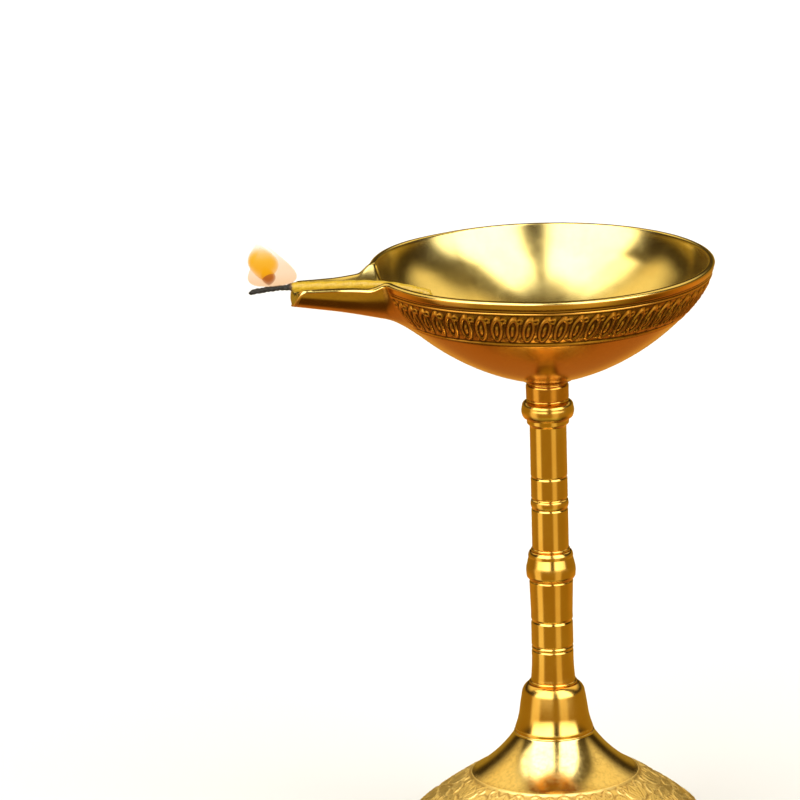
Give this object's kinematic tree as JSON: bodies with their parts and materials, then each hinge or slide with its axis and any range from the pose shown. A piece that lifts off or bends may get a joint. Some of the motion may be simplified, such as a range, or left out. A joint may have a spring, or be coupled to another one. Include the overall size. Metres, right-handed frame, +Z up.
{
  "type": "standing oil lamp",
  "caption": "Standing brass oil lamp: a shallow bowl with a wick spout on a slender turned stem that unscrews in sections from a domed, hollow foot.",
  "frame": {"origin": "centre of the foot's rest plane, on the stem's axis", "axes": "+Z up along the stem, -X out along the spout, -Y towards the side the lamp is usually seen from"},
  "size_m": [0.1522, 0.11, 0.2009],
  "materials": {
    "brass_polished": "polished, lightly brushed on the lathe",
    "brass_bowl": "polished inside, chased band and warm patina outside",
    "brass_etched": "satin, engraved with floral scrolls",
    "brass_fittings": "machined, unpolished",
    "cotton_wick": "twisted cotton soaked in oil, charred at the lit end"
  },
  "bodies": {
    "foot": {"base_dome": "brass_etched", "base_collar": "brass_polished", "base_washer": "brass_fittings", "base_nut": "brass_fittings", "base_stud": "brass_fittings"},
    "base_ring": {"base_ring": "brass_polished"},
    "lower_stem": {"lower_stem": "brass_polished", "middle_stud": "brass_fittings"},
    "middle_ring": {"middle_ring": "brass_polished"},
    "upper_stem": {"upper_stem": "brass_polished", "bowl_stud": "brass_fittings"},
    "bowl_ring": {"bowl_ring": "brass_polished"},
    "bowl": {"oil_bowl": "brass_bowl"},
    "wick": {"wick": "cotton_wick"}
  },
  "joints": [
    {"name": "lower_stem_turn", "type": "hinge", "parent": "foot", "child": "base_ring", "pos_m": [0, 0, 0.059], "axis": [0, 0, 1], "range_deg": [0, 3241]},
    {"name": "lower_stem_rise", "type": "slide", "parent": "base_ring", "child": "lower_stem", "axis": [0, 0, 1], "range_m": [0, 0.01125]},
    {"name": "upper_stem_turn", "type": "hinge", "parent": "lower_stem", "child": "middle_ring", "pos_m": [0, 0, 0.104], "axis": [0, 0, 1], "range_deg": [0, 3241]},
    {"name": "upper_stem_rise", "type": "slide", "parent": "middle_ring", "child": "upper_stem", "axis": [0, 0, 1], "range_m": [0, 0.009]},
    {"name": "bowl_turn", "type": "hinge", "parent": "upper_stem", "child": "bowl_ring", "pos_m": [0, 0, 0.1545], "axis": [0, 0, 1], "range_deg": [0, 2161]},
    {"name": "bowl_rise", "type": "slide", "parent": "bowl_ring", "child": "bowl", "axis": [0, 0, 1], "range_m": [0, 0.006]},
    {"name": "wick_slide", "type": "slide", "parent": "bowl", "child": "wick", "axis": [-0.9994, 0, 0.0349], "range_m": [-0.008, 0.008]}
  ],
  "couplings": [
    {"joint": "lower_stem_turn", "follows": "lower_stem_rise", "rad_per_m": 5026.5},
    {"joint": "upper_stem_turn", "follows": "upper_stem_rise", "rad_per_m": 6283.2},
    {"joint": "bowl_turn", "follows": "bowl_rise", "rad_per_m": 6283.2}
  ]
}
